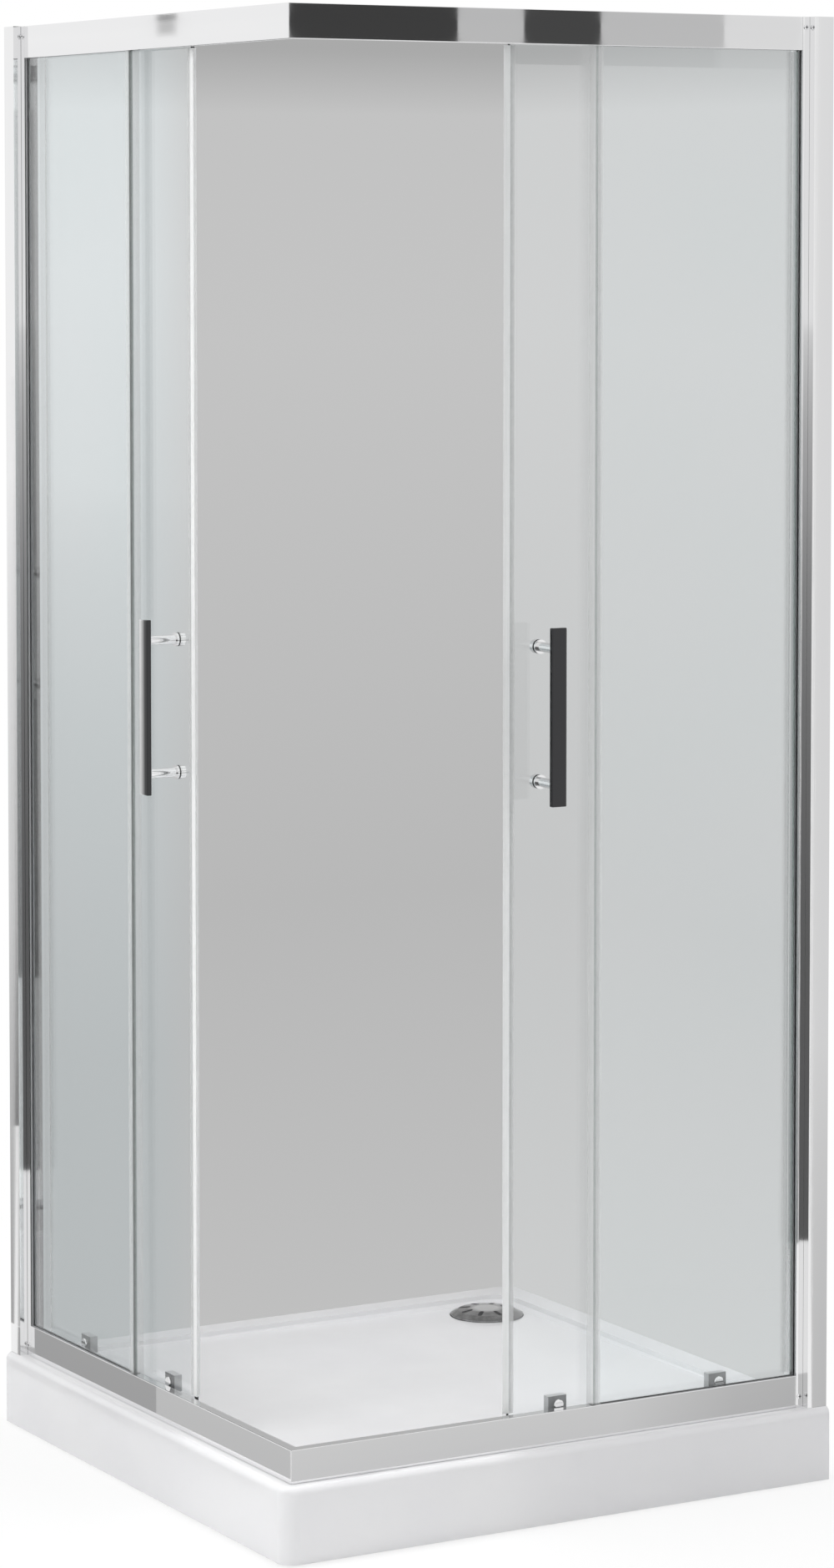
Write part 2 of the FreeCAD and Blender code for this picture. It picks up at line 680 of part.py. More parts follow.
def frame_screws():
    """Screws through the posts' faces and adjusting screws with their caps, on both sides."""
    screws = []
    caps = []
    for level, height in SCREW_HEIGHTS.items():
        at = {"x": SCREW_X, "z": height}
        screws.append(fused(f"post_screw_{level}", [
            rod(f"post_screw_head_{level}", "y", "screw_head_radius", f"{POST_FRONT} - screw_head",
                POST_FRONT, **at),
            rod(f"post_screw_shank_{level}", "y", "screw_radius", POST_FRONT, inward("groove_width"), **at)]))
    for number, height in enumerate(ADJUST_HEIGHTS, start=1):
        at = {"x": ADJUST_X, "z": height}
        head_back = f"{FLANGE_BACK} + screw_head"
        screws.append(fused(f"adjust_screw_{number}", [
            rod(f"adjust_head_{number}", "y", "screw_head_radius", FLANGE_BACK, head_back, **at),
            rod(f"adjust_shank_{number}", "y", "screw_radius", inward(f"{LEG} + rail_wall"),
                FLANGE_BACK, **at)]))
        caps.append(cut(
            f"screw_cap_{number}",
            rod(f"screw_cap_blank_{number}", "y", "screw_cap_radius", FLANGE_BACK,
                f"{FLANGE_BACK} + screw_cap_height", **at),
            [rod(f"screw_cap_bore_{number}", "y", "screw_head_radius + loose_gap", FLANGE_BACK,
                 f"{head_back} + loose_gap", **at)]))
    for name, pieces in (("frame_screws", screws), ("screw_caps", caps)):
        right = group(f"{name}_right", pieces)
        keep(group(name, [right, mirrored(f"{name}_left", right)]))


def fixed_panels():
    """Fixed glass in its gaskets, on setting blocks, with a seal on the free edge."""
    glass = box("fixed_glass_right", (GLASS_NEAR, GLASS_FAR), (inward(FIXED_FACE), inward(FIXED_BACK)),
                (f"{GROOVE_FLOOR} + setting_block", f"{RAIL_UNDER} + fixed_glass_bite"))
    keep_both("fixed_glass", glass)
    strips = []
    along = (GLASS_NEAR, POST)
    for face, (front, back) in {"front": ("rail_wall", FIXED_FACE), "back": (FIXED_BACK, GROOVE)}.items():
        deep = (inward(front), inward(back))
        strips += [
            box(f"gasket_top_{face}", along, deep, (RAIL_UNDER, f"{RAIL_UNDER} + seal_grip")),
            box(f"gasket_bottom_{face}", along, deep, (f"{SILL_TOP} - seal_grip", SILL_TOP)),
            box(f"gasket_post_{face}", (POST, f"{POST} + seal_grip"), deep, (SILL_TOP, RAIL_UNDER))]
    first = f"{GLASS_NEAR} + setting_block_length"
    last = f"{GLASS_FAR} - setting_block_length"
    for name, ends in {"near": (first, f"{first} + setting_block_length"),
                       "far": (f"{last} - setting_block_length", last)}.items():
        strips.append(box(f"setting_block_{name}", ends, (inward(FIXED_FACE), inward(FIXED_BACK)),
                          (GROOVE_FLOOR, f"{GROOVE_FLOOR} + setting_block")))
    keep_both("glazing_gasket", group("glazing_gasket_right", strips))
    nose = f"{GLASS_NEAR} - fixed_seal_nose"
    grip = f"{GLASS_NEAR} + seal_grip"
    front = f"{FIXED_FACE} - fixed_seal_wall"
    back = f"{FIXED_BACK} + fixed_seal_wall"
    fin = f"{nose} + seal_fin"
    height = (f"{SILL_TOP} + loose_gap", f"{RAIL_UNDER} - loose_gap")
    seal = prism("fixed_edge_seal_right", "XY_Plane", *height, [[(x, inward(deep)) for x, deep in (
        (nose, front), (grip, front), (grip, FIXED_FACE), (GLASS_NEAR, FIXED_FACE),
        (GLASS_NEAR, FIXED_BACK), (grip, FIXED_BACK), (grip, back), (fin, back),
        (fin, f"{back} + fixed_seal_fin"), (nose, f"{back} + fixed_seal_fin"))]])
    keep_both("fixed_edge_seal", seal)


def door_stops():
    """Rubber stops on the top rail's lip, where the brackets meet them at both ends of the travel."""
    deep = (inward(f"{LIP} - stop_overhang"), inward(f"{TOP_DEPTH} - rail_wall - loose_gap"))
    height = (LIP_TOP, f"{LIP_TOP} + stop_height")
    open_end = f"{BRACKETS[1]} + bracket_width / 2 + stop_gap"
    closed_end = f"{BRACKETS[0]} - bracket_width / 2 - {TRAVEL} - stop_gap"
    stops = group("door_stops_right", [
        box("door_stop_open", (open_end, f"{open_end} + stop_length"), deep, height),
        box("door_stop_closed", (f"{closed_end} - stop_length", closed_end), deep, height)])
    keep(group("door_stops", [stops, mirrored("door_stops_left", stops)]))


# Sliding door of the right side, shown fully open

GUIDE_UNDER = "(tray_height + guide_lip + guide_rise)"
GUIDE_BOLT_Z = f"({GUIDE_UNDER} + guide_height / 2)"
HANGER_BOLT_Z = f"({RAIL_UNDER} + bolt_rise)"
BOLT_CAP_FRONT = f"({DOOR_FACE} - bolt_cap)"
PLATE_BACK = f"({DOOR_BACK} + bracket_thickness)"
HANDLE_X = f"({DOOR_NEAR} + handle_inset)"
HANDLE_POST_HEIGHTS = ("handle_height - handle_post_spacing / 2", "handle_height + handle_post_spacing / 2")
PAIR = ("- bolt_spacing / 2", "+ bolt_spacing / 2")
HANGER_PLACES = [f"{bracket} {side}" for bracket in BRACKETS for side in PAIR]


def door_glass():
    """Glass of the door with the holes for its hangers, guides and handle."""
    faces = (inward(DOOR_FACE), inward(DOOR_BACK))
    places = [(x, HANGER_BOLT_Z) for x in HANGER_PLACES]
    places += [(x, GUIDE_BOLT_Z) for x in BRACKETS]
    places += [(HANDLE_X, z) for z in HANDLE_POST_HEIGHTS]
    pane = box("door_pane", (DOOR_NEAR, DOOR_FAR), faces,
               ("tray_height + door_bottom_rise", f"{RAIL_UNDER} + door_top_rise"))
    holes = [rod(f"door_hole_{number}", "y", "glass_hole_radius", *faces, x=x, z=z)
             for number, (x, z) in enumerate(places, start=1)]
    keep_door_pair("door_glass", cut("door_glass_right", pane, holes))


def door_seals():
    """Magnet seal with a 45 degree face on the leading edge, and a finned seal on the rear edge."""
    height = (f"{SILL_TOP} + seal_end_gap", f"{RAIL_UNDER} - seal_end_gap")
    front = f"{DOOR_FACE} - seal_wall"
    back = f"{DOOR_BACK} + seal_wall"
    grip = f"{DOOR_NEAR} + seal_grip"
    tip = f"{TRAVEL} + {FACE} + closed_seal_gap"
    magnet = prism("magnet_seal_right", "XY_Plane", *height, [[(x, inward(deep)) for x, deep in (
        (f"{tip} + {front}", front), (grip, front), (grip, DOOR_FACE), (DOOR_NEAR, DOOR_FACE),
        (DOOR_NEAR, DOOR_BACK), (grip, DOOR_BACK), (grip, back), (f"{tip} + {back}", back))]])
    keep_door_pair("magnet_seal", magnet)
    grip = f"{DOOR_FAR} - seal_grip"
    nose = f"{DOOR_FAR} + rear_seal_nose"
    fin = f"{nose} - seal_fin"
    rear = prism("rear_seal_right", "XY_Plane", *height, [[(x, inward(deep)) for x, deep in (
        (grip, front), (fin, front), (fin, f"{front} - rear_fin_reach"), (nose, f"{front} - rear_fin_reach"),
        (nose, back), (grip, back), (grip, DOOR_BACK), (DOOR_FAR, DOOR_BACK), (DOOR_FAR, DOOR_FACE),
        (grip, DOOR_FACE))]])
    keep_door_pair("rear_seal", rear)


def handle():
    """Flat bar handle on two posts, bolted through the glass to round caps inside."""
    bar_back = f"({DOOR_FACE} - handle_reach)"
    sides = (f"{HANDLE_X} - handle_width / 2", f"{HANDLE_X} + handle_width / 2")
    faces = (inward(f"{bar_back} - handle_depth"), inward(bar_back))
    ends = ("handle_height - handle_length / 2", "handle_height + handle_length / 2")
    bar = prism("handle_bar", "XY_Plane", *ends, [[
        (sides[0], faces[0]), (sides[1], faces[0]), (sides[1], faces[1]), (sides[0], faces[1])]])
    rounded_edges(bar, bar.Tip, "handle_bar_edges", "handle_edge", lambda edge: True)
    rosette_front = inward(f"{DOOR_FACE} - rosette_thickness")
    stud_end = f"{DOOR_BACK} + handle_cap_length - rail_wall"
    pieces = [bar]
    caps = []
    for level, z in zip(("low", "high"), HANDLE_POST_HEIGHTS):
        at = {"x": HANDLE_X, "z": z}
        pieces += [
            rod(f"handle_post_{level}", "y", "handle_post_radius", inward(bar_back), rosette_front, **at),
            rod(f"handle_rosette_{level}", "y", "rosette_radius", rosette_front, inward(DOOR_FACE), **at),
            rod(f"handle_stud_{level}", "y", "bolt_radius", inward(DOOR_FACE), inward(stud_end), **at)]
        blank = rod(f"handle_cap_blank_{level}", "y", "handle_cap_radius", inward(DOOR_BACK),
                    inward(f"{DOOR_BACK} + handle_cap_length"), **at)
        bore = rod(f"handle_cap_bore_{level}", "y", "bolt_radius + fit_gap", inward(DOOR_BACK),
                   inward(f"{stud_end} + loose_gap"), **at)
        caps.append(cut(f"handle_cap_{level}", blank, [bore]))
    keep_door_pair("door_handle", fused("door_handle_right", pieces))
    keep_door_pair("handle_caps", group("handle_caps_right", caps))


def hangers():
    """Roller brackets on the top of the door, with the guide blocks that run behind the sill's lip."""
    plates = []
    guides = []
    for name, x in zip(("front", "rear"), BRACKETS):
        plate = box(f"bracket_plate_{name}", (f"{x} - bracket_width / 2", f"{x} + bracket_width / 2"),
                    (inward(DOOR_BACK), inward(PLATE_BACK)),
                    (f"{RAIL_UNDER} + bracket_rise", f"{WHEEL_Z} + bracket_edge"))
        holes = []
        for side, shift in zip(("a", "b"), PAIR):
            for kind, radius, z in (("bolt", "bolt_radius", HANGER_BOLT_Z), ("axle", "axle_radius", WHEEL_Z)):
                holes.append(rod(f"bracket_{kind}_hole_{name}_{side}", "y", f"{radius} + fit_gap",
                                 inward(DOOR_BACK), inward(PLATE_BACK), x=f"{x} {shift}", z=z))
        plates.append(cut(f"roller_bracket_{name}", plate, holes))
        sides = (f"{x} - guide_width / 2", f"{x} + guide_width / 2")
        block = fused(f"guide_solid_{name}", [
            box(f"guide_body_{name}", sides, (inward(DOOR_BACK), inward(f"{DOOR_BACK} + guide_depth")),
                (GUIDE_UNDER, f"{GUIDE_UNDER} + guide_height")),
            box(f"guide_tongue_{name}", sides,
                (inward(f"{DOOR_BACK} + loose_gap"), inward(f"{GUIDE_LIP} - loose_gap")),
                (f"{GUIDE_UNDER} - guide_tongue", GUIDE_UNDER))])
        guides.append(cut(f"guide_block_{name}", block, [
            rod(f"guide_hole_{name}", "y", "bolt_radius + fit_gap", inward(DOOR_BACK),
                inward(f"{DOOR_BACK} + guide_depth - rail_wall"), x=x, z=GUIDE_BOLT_Z)]))
    keep_door_pair("roller_brackets", group("roller_brackets_right", plates))
    keep_door_pair("guide_blocks", group("guide_blocks_right", guides))


def fasteners():
    """Hanger bolts, guide bolts and wheel axles of the door."""
    cap_edge = f"{BOLT_CAP_FRONT} + bolt_cap / 2"
    cap = [(BOLT_CAP_FRONT, "0"), (BOLT_CAP_FRONT, "bolt_cap_radius - bolt_cap / 2"),
           (cap_edge, "bolt_cap_radius"), (DOOR_FACE, "bolt_cap_radius"), (DOOR_FACE, "bolt_radius")]
    nut_back = f"{PLATE_BACK} + bolt_nut"
    hanger_bolt = cap + [(PLATE_BACK, "bolt_radius"), (PLATE_BACK, "bolt_nut_radius"),
                         (nut_back, "bolt_nut_radius"), (nut_back, "0")]
    guide_end = f"{DOOR_BACK} + guide_depth - rail_wall - loose_gap"
    guide_bolt = cap + [(guide_end, "bolt_radius"), (guide_end, "0")]
    shoulder = f"{PLATE_BACK} + axle_shoulder"
    head = f"{WHEEL_BACK} + loose_gap"
    head_back = f"{head} + axle_head"
    shoulder_radius = "axle_radius + rail_wall"
    axle = [(DOOR_BACK, "0"), (DOOR_BACK, "axle_radius"), (PLATE_BACK, "axle_radius"),
            (PLATE_BACK, shoulder_radius), (shoulder, shoulder_radius), (shoulder, "axle_radius"),
            (head, "axle_radius"), (head, "axle_head_radius"), (head_back, "axle_head_radius"),
            (head_back, "0")]
    pieces = []
    for number, x in enumerate(HANGER_PLACES, start=1):
        for kind, points, z in (("hanger_bolt", hanger_bolt, HANGER_BOLT_Z), ("wheel_axle", axle, WHEEL_Z)):
            pieces.append(place(turned(f"{kind}_{number}", "YZ_Plane", "H_Axis", points), x=x, y=FACE, z=z))
    for number, x in enumerate(BRACKETS, start=1):
        bolt = turned(f"guide_bolt_{number}", "YZ_Plane", "H_Axis", guide_bolt)
        pieces.append(place(bolt, x=x, y=FACE, z=GUIDE_BOLT_Z))
    keep_door_pair("door_fasteners", group("door_fasteners_right", pieces))


def wheels():
    """Roller wheels that carry the door on the top rail's lip."""
    bore = "axle_radius + fit_gap"
    shoulder = "wheel_radius - wheel_chamfer"
    tread = [(LIP, bore), (LIP, shoulder), (f"{LIP} + wheel_chamfer", "wheel_radius"),
             (f"{WHEEL_BACK} - wheel_chamfer", "wheel_radius"), (WHEEL_BACK, shoulder), (WHEEL_BACK, bore)]
    for number, x in enumerate(HANGER_PLACES, start=1):
        wheel = turned(f"roller_wheel_{number}_right", "YZ_Plane", "H_Axis", tread)
        keep_door_pair(f"roller_wheel_{number}", place(wheel, x=x, y=FACE, z=WHEEL_Z))


def check():
    """Stop if any object failed or a sub-part's shape is missing or not valid."""
    for obj in doc.Objects:
        if {"Invalid", "Error"} & set(obj.State):
            raise RuntimeError(f"{obj.Label} failed: {obj.State}")
    for obj in subparts:
        if obj.Shape.isNull() or not obj.Shape.isValid():
            raise RuntimeError(f"{obj.Label} has no valid shape")


def main():
    """Build every sub-part, check it and write it under its label."""
    tray()
    waste()
    feet()
    rails()
    rail_blocks()
    posts()
    frame_screws()
    fixed_panels()
    door_stops()
    door_glass()
    door_seals()
    handle()
    hangers()
    fasteners()
    wheels()
    doc.recompute()
    check()
    os.makedirs("parts", exist_ok=True)
    for obj in subparts:
        obj.Shape.exportStep(f"parts/{obj.Label}.step")


main()
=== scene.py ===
"""Looks of the corner shower enclosure: finishes, fine fittings, studio and camera around the frame."""
import math

import bmesh
import bpy
from mathutils import Matrix, Vector

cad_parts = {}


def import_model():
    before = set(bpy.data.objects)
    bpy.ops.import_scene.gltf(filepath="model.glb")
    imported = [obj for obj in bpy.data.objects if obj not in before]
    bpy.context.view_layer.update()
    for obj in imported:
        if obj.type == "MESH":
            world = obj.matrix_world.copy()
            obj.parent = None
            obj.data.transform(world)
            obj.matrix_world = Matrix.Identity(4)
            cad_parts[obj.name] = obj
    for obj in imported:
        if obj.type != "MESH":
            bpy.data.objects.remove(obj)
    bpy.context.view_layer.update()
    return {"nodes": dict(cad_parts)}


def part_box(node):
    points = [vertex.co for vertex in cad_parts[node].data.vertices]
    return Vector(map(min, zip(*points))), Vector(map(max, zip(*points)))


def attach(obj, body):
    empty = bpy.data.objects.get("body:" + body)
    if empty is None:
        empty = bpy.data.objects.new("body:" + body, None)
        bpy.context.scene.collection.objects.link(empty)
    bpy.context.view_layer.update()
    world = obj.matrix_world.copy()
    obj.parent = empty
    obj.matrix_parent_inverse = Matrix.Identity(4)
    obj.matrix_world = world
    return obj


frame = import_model()

MM = 0.001
QUARTER = math.pi / 2.0
X, Y, Z = range(3)
AXES = "XYZ"

# Each side of the enclosure: the axis that it runs along, and the one across its glass
SIDES = ("right", "left")
RUN = {"right": X, "left": Y}
ACROSS = {"right": Y, "left": X}

# Noise stretched along one axis, for the drawing lines of an extrusion that runs that way
ALONG = {"x": (0.015, 1.0, 1.0), "y": (1.0, 0.015, 1.0), "z": (1.0, 1.0, 0.015)}
EVEN = (1.0, 1.0, 1.0)


# Shader building


def add(tree, kind, inputs=None, **settings):
    """A new shader node: inputs are constants or the sockets to link."""
    made = tree.nodes.new(kind)
    for key, value in settings.items():
        setattr(made, key, value)
    for name, value in (inputs or {}).items():
        if isinstance(value, bpy.types.NodeSocket):
            tree.links.new(value, made.inputs[name])
        else:
            made.inputs[name].default_value = value
    return made


def object_place(tree):
    """Object coordinates, which are the frame's own at rest, in metres."""
    return add(tree, "ShaderNodeTexCoord").outputs["Object"]


def parts_of(tree, vector):
    """The X, Y and Z sockets of a vector."""
    return add(tree, "ShaderNodeSeparateXYZ", {"Vector": vector}).outputs


def noise(tree, scale, detail, stretch):
    """Noise in object space, cells per metre."""
    place = add(tree, "ShaderNodeMapping", {"Vector": object_place(tree), "Scale": stretch})
    cells = {"Vector": place.outputs["Vector"], "Scale": scale, "Detail": detail}
    return add(tree, "ShaderNodeTexNoise", cells).outputs["Fac"]


def spread(tree, value, low, high, start=0.3, end=0.7):
    """Maps start to end onto low to high; the usual range is the middle of a noise."""
    limits = {"Value": value, "From Min": start, "From Max": end, "To Min": low, "To Max": high}
    return add(tree, "ShaderNodeMapRange", limits).outputs["Result"]


def blend(tree, factor, first, second):
    """The colour between two colours, constants or sockets."""
    mix = add(tree, "ShaderNodeMix", data_type="RGBA")
    # The node has one set of sockets for each data type, so those for colours are found by number
    for socket, value in zip((mix.inputs[0], mix.inputs[6], mix.inputs[7]), (factor, first, second)):
        if isinstance(value, bpy.types.NodeSocket):
            tree.links.new(value, socket)
        else:
            socket.default_value = value
    return mix.outputs[2]


def grey(level):
    return (level, level, level, 1.0)


def shader_of(material):
    return material.node_tree.nodes["Principled BSDF"]


def repaint(material, factor, colour):
    """Lays a colour over a material's own where the factor is 1."""
    tree = material.node_tree
    socket = shader_of(material).inputs["Base Color"]
    tree.links.new(blend(tree, factor, socket.links[0].from_socket, colour), socket)


# Noise detail of a finish's tone, wear and bump, and how much finer its wear is than its tone
TONE_DETAIL, WEAR_DETAIL, BUMP_DETAIL = 4.0, 5.0, 2.0
WEAR_FINER = 2.7


def surface(name, light, dark, rough, patches, bump=None, **constants):
    """A Principled material: two tones and a roughness range over noise patches, with a fine bump."""
    material = bpy.data.materials.new(name)
    material.use_nodes = True
    tree = material.node_tree
    shader = shader_of(material)
    for socket, value in constants.items():
        shader.inputs[socket.replace("_", " ")].default_value = value
    scale, stretch = patches
    tone = noise(tree, scale, TONE_DETAIL, stretch)
    tree.links.new(blend(tree, spread(tree, tone, 0.0, 1.0), light, dark), shader.inputs["Base Color"])
    wear = noise(tree, scale * WEAR_FINER, WEAR_DETAIL, stretch)
    tree.links.new(spread(tree, wear, *rough), shader.inputs["Roughness"])
    if bump:
        size, depth, direction = bump
        height = noise(tree, size, BUMP_DETAIL, direction)
        relief = {"Height": height, "Distance": depth, "Strength": 1.0}
        tree.links.new(add(tree, "ShaderNodeBump", relief).outputs["Normal"], shader.inputs["Normal"])
    return material


def facing(tree, axis):
    """1 where a surface faces along an axis, 0 where it runs along it."""
    normal = add(tree, "ShaderNodeNewGeometry").outputs["Normal"]
    size = add(tree, "ShaderNodeVectorMath", {0: normal}, operation="ABSOLUTE").outputs["Vector"]
    return spread(tree, parts_of(tree, size)[AXES[axis]], 0.0, 1.0)


# Finishes


def extrusion(name, run):
    """Bright polished aluminium, drawn along the run axis."""
    return surface(
        name, grey(0.87), (0.80, 0.80, 0.81, 1.0), rough=(0.012, 0.035), patches=(7.0, ALONG[run]),
        bump=(700.0, 2e-6, ALONG[run]), Metallic=1.0,
    )


# Painted shade on the posts' edges beside the glass: a darker tone over the metal, much darker on the left
POST_EDGE_PAINTED_SHADE = {"right": 0.8, "left": 0.3}


def post(name, side):
    """Bright post whose edges beside the glass carry painted shade, a darker tone laid over the metal."""
    material = extrusion(name, "z")
    # Painted shade: a darker tone over the faces that look along the run
    repaint(material, facing(material.node_tree, RUN[side]), grey(POST_EDGE_PAINTED_SHADE[side]))
    return material


GROUND_TONE, GROUND_ROUGH = (0.55, 0.74, 0.68, 1.0), 0.22


def glass(name, side):
    """Clear toughened glass: the faces are clean, the ground edges green and dull."""
    material = surface(
        name, (0.985, 0.997, 1.0, 1.0), (0.975, 0.995, 0.997, 1.0), rough=(0.0, 0.004), patches=(3.0, EVEN),
        Transmission_Weight=1.0, IOR=1.5,
    )
    tree = material.node_tree
    edge = spread(tree, facing(tree, ACROSS[side]), 1.0, 0.0, 0.0, 1.0)
    repaint(material, edge, GROUND_TONE)
    dull = spread(tree, edge, 0.0, GROUND_ROUGH, 0.0, 1.0)
    tree.links.new(dull, shader_of(material).inputs["Roughness"])
    return material


def clear_seal(name, alpha, ior):
    """Soft clear strip, drawn upright."""
    return surface(
        name, grey(0.97), (0.93, 0.95, 0.95, 1.0), rough=(0.2, 0.32), patches=(30.0, ALONG["z"]),
        bump=(1500.0, 3e-5, ALONG["z"]), Alpha=alpha, IOR=ior,
    )


# Magnet strip: how far past the glass edge it starts, how soft its end is, and how much the clear lips cover
STRIP_START, STRIP_FADE, LIP_COVER = 0.5 * MM, 0.5 * MM, 0.3


def magnet_seal(name, side):
    """Leading-edge seal: a white magnet strip past the glass edge, clear lips over the glass."""
    material = surface(
        name, (0.87, 0.88, 0.88, 1.0), (0.82, 0.84, 0.84, 1.0), rough=(0.2, 0.32),
        patches=(30.0, ALONG["z"]), bump=(1500.0, 3e-5, ALONG["z"]), IOR=1.48,
    )
    tree = material.node_tree
    along = parts_of(tree, object_place(tree))[AXES[RUN[side]]]
    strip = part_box(f"door_glass_{side}")[0][RUN[side]] - STRIP_START
    cover = spread(tree, along, 1.0, LIP_COVER, strip - STRIP_FADE, strip + STRIP_FADE)
    tree.links.new(cover, shader_of(material).inputs["Alpha"])
    return material


def chrome(name, rough):
    """Bright chrome plate."""
    return surface(
        name, grey(0.84), (0.79, 0.79, 0.80, 1.0), rough, patches=(40.0, EVEN), bump=(900.0, 2e-7, EVEN),
        Metallic=1.0,
    )


# Painted dark reflection on the handle bars, laid over the chrome: its depth behind their face, and where it
# starts and is full, from their far edge
BAR_PAINTED_REFLECTION = (0.05, 0.05, 0.052, 1.0)
PAINTED_REFLECTION_DEPTH, PAINTED_REFLECTION_FADE = 7.0 * MM, 0.1 * MM
PAINTED_REFLECTION_STARTS = {"right": (-1.0 * MM, 2.0 * MM), "left": (5.0 * MM, 18.0 * MM)}


def handle(name, side):
    """Chrome posts and bar; a painted dark reflection covers the bar but its back and edge off the opening.
    """
    material = chrome(name, (0.03, 0.06))
    tree = material.node_tree
    low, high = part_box(f"door_handle_{side}")
    parts = parts_of(tree, object_place(tree))
    back = low[ACROSS[side]] + PAINTED_REFLECTION_DEPTH
    bar = spread(tree, parts[AXES[ACROSS[side]]], 1.0, 0.0, back - PAINTED_REFLECTION_FADE, back + PAINTED_REFLECTION_FADE)
    bright_to, dark_from = [high[RUN[side]] - step for step in PAINTED_REFLECTION_STARTS[side]]
    face = spread(tree, parts[AXES[RUN[side]]], 0.0, 1.0, bright_to, dark_from)
    dark = add(tree, "ShaderNodeMath", {0: bar, 1: face}, operation="MULTIPLY").outputs["Value"]
    # Painted reflection: the dark tone over the bar's face, leaving a wider bright edge on the left handle
    repaint(material, dark, BAR_PAINTED_REFLECTION)
    return material


def cover_disc():
    """Middle, radius and top of the drain cover."""
    low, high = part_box("drain_cover")
    return (low + high) / 2.0, (high.x - low.x) / 2.0, high.z


# Painted highlight on the crown of the drain cover: its tone, and where it starts to fade and ends, as
# shares of the radius
CROWN_PAINTED_HIGHLIGHT, HIGHLIGHT_FADE_START, HIGHLIGHT_END = 0.8, 0.3, 0.55


def cover_chrome(name):
    """Chrome dome of the drain cover, darkened with painted shade, with a painted highlight at its crown."""
    # Painted shade: dark base tones for the chrome
    material = surface(
        name, grey(0.36), grey(0.22), rough=(0.08, 0.2), patches=(90.0, EVEN), bump=(900.0, 2e-6, EVEN),
        Metallic=1.0,
    )
    tree = material.node_tree
    middle, radius, _ = cover_disc()
    level = {0: object_place(tree), 1: (1.0, 1.0, 0.0)}
    level = add(tree, "ShaderNodeVectorMath", level, operation="MULTIPLY").outputs["Vector"]
    out = {0: level, 1: (middle.x, middle.y, 0.0)}
    out = add(tree, "ShaderNodeVectorMath", out, operation="DISTANCE").outputs["Value"]
    crown = spread(tree, out, 1.0, 0.0, HIGHLIGHT_FADE_START * radius, HIGHLIGHT_END * radius)
    # Painted highlight: a pale tone laid over the crown
    repaint(material, crown, grey(CROWN_PAINTED_HIGHLIGHT))
    return material


FLAKES, FLAKE_COVER, STRAW = 240.0, 0.55, (0.62, 0.48, 0.30, 1.0)


def chipboard(name):
    """Moisture-resistant chipboard: flakes of two sizes in brown and straw."""
    material = surface(
        name, (0.44, 0.31, 0.19, 1.0), (0.30, 0.19, 0.11, 1.0), rough=(0.6, 0.85), patches=(60.0, EVEN),
        bump=(420.0, 2e-4, EVEN),
    )
    tree = material.node_tree
    flakes = add(tree, "ShaderNodeTexVoronoi", {"Vector": object_place(tree), "Scale": FLAKES})
    chips = add(tree, "ShaderNodeSeparateColor", {"Color": flakes.outputs["Color"]}).outputs["Red"]
    repaint(material, spread(tree, chips, 0.0, FLAKE_COVER), STRAW)
    return material


FINISHES = {
    "acrylic_white": surface(
        "acrylic_white", (0.83, 0.83, 0.84, 1.0), (0.79, 0.79, 0.81, 1.0), rough=(0.10, 0.20),
        patches=(5.0, EVEN), bump=(260.0, 6e-6, EVEN), Coat_Weight=0.5, Coat_Roughness=0.06,
    ),
    "guide_grey": surface(
        "guide_grey", (0.62, 0.63, 0.64, 1.0), (0.52, 0.53, 0.54, 1.0), rough=(0.3, 0.45),
        patches=(60.0, EVEN), bump=(2600.0, 8e-6, EVEN), Alpha=0.65,
    ),
    "gasket_grey": surface(
        "gasket_grey", (0.46, 0.47, 0.48, 1.0), (0.38, 0.385, 0.39, 1.0), rough=(0.35, 0.55),
        patches=(25.0, ALONG["z"]), bump=(1200.0, 4e-5, ALONG["z"]),
    ),
    "rubber_black": surface(
        "rubber_black", (0.045, 0.045, 0.047, 1.0), (0.022, 0.022, 0.024, 1.0), rough=(0.5, 0.75),
        patches=(50.0, EVEN), bump=(1600.0, 6e-5, EVEN),
    ),
    "nylon_white": surface(
        "nylon_white", (0.80, 0.79, 0.76, 1.0), (0.72, 0.71, 0.68, 1.0), rough=(0.35, 0.5),
        patches=(40.0, EVEN), bump=(1800.0, 2e-5, EVEN),
    ),
    "steel": surface(
        "steel", grey(0.66), (0.54, 0.54, 0.55, 1.0), rough=(0.2, 0.36),
        patches=(60.0, ALONG["x"]), bump=(2400.0, 1e-5, ALONG["x"]), Metallic=1.0,
    ),
    "chrome": chrome("chrome", (0.015, 0.045)),
    "cover_chrome": cover_chrome("cover_chrome"),
    "seal_thin": clear_seal("seal_thin", 0.25, 1.3),
    "seal_film": clear_seal("seal_film", 0.1, 1.15),
    "board": chipboard("board"),
}
for run in ALONG:
    FINISHES[f"bright_aluminium_{run}"] = extrusion(f"bright_aluminium_{run}", run)
SIDE_FINISHES = {"clear_glass": glass, "post": post, "magnet_seal": magnet_seal, "handle_chrome": handle}
for kind, make in SIDE_FINISHES.items():
    for side in SIDES:
        FINISHES[f"{kind}_{side}"] = make(f"{kind}_{side}", side)

# Pieces with a finish of their own, by a word of the node's name
OWN_FINISHES = {
    "side_post": "post_{side}",
    "magnet_seal": "magnet_seal_{side}",
    "door_handle": "handle_chrome_{side}",
    "fixed_edge": "seal_thin",
    "rear_seal": "seal_film",
    "glazing": "gasket_grey",
    "guide_blocks": "guide_grey",
    "drain_cover": "cover_chrome",
}


